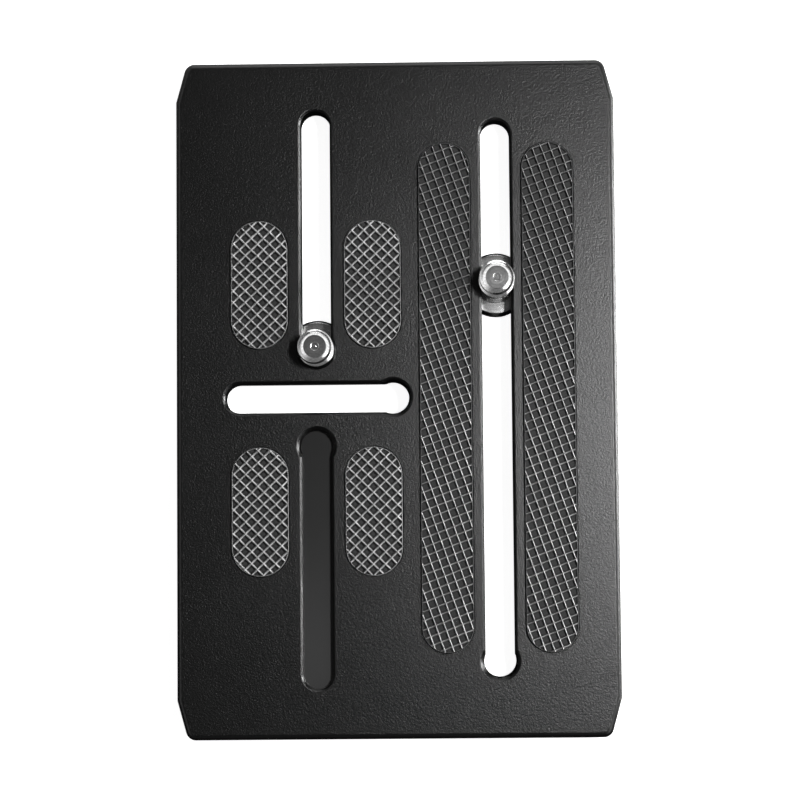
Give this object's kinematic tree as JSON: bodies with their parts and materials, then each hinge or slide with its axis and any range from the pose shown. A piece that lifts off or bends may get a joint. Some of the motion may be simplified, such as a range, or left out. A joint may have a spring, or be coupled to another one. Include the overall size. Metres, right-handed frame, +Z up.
{
  "type": "quick release plate",
  "caption": "Flat camera plate with keyhole slots, captive sliding camera screws, ribbed rubber grip pads and grooved long sides that slide into a tripod head's clamp.",
  "frame": {"origin": "middle of the underside, where the plate rests", "axes": "+X across the plate towards the long slot, +Y along its length, +Z up out of the camera side"},
  "size_m": [0.078, 0.12, 0.014],
  "materials": {
    "anodised_plate": "satin black anodised",
    "rubber_pad": "matt",
    "screw_steel": "bright turned",
    "washer_steel": "satin"
  },
  "bodies": {
    "plate": {"plate": "anodised_plate", "inner_long_pad": "rubber_pad", "outer_long_pad": "rubber_pad", "upper_left_pad": "rubber_pad", "upper_right_pad": "rubber_pad", "lower_left_pad": "rubber_pad", "lower_right_pad": "rubber_pad"},
    "left_slider": {"left_washer": "washer_steel"},
    "left_screw": {"left_screw": "screw_steel"},
    "right_slider": {"right_washer": "washer_steel"},
    "right_screw": {"right_screw": "screw_steel"}
  },
  "joints": [
    {"name": "left_slide", "type": "slide", "parent": "plate", "child": "left_slider", "axis": [0, 1, 0], "range_m": [0, 0.04]},
    {"name": "left_turn", "type": "hinge", "parent": "left_slider", "child": "left_screw", "pos_m": [-0.0142, 0.0086, 0], "axis": [0, 0, 1], "continuous": true},
    {"name": "right_slide", "type": "slide", "parent": "plate", "child": "right_slider", "axis": [0, 1, 0], "range_m": [-0.0666, 0.0261]},
    {"name": "right_turn", "type": "hinge", "parent": "right_slider", "child": "right_screw", "pos_m": [0.0178, 0.02045, 0], "axis": [0, 0, 1], "continuous": true}
  ]
}
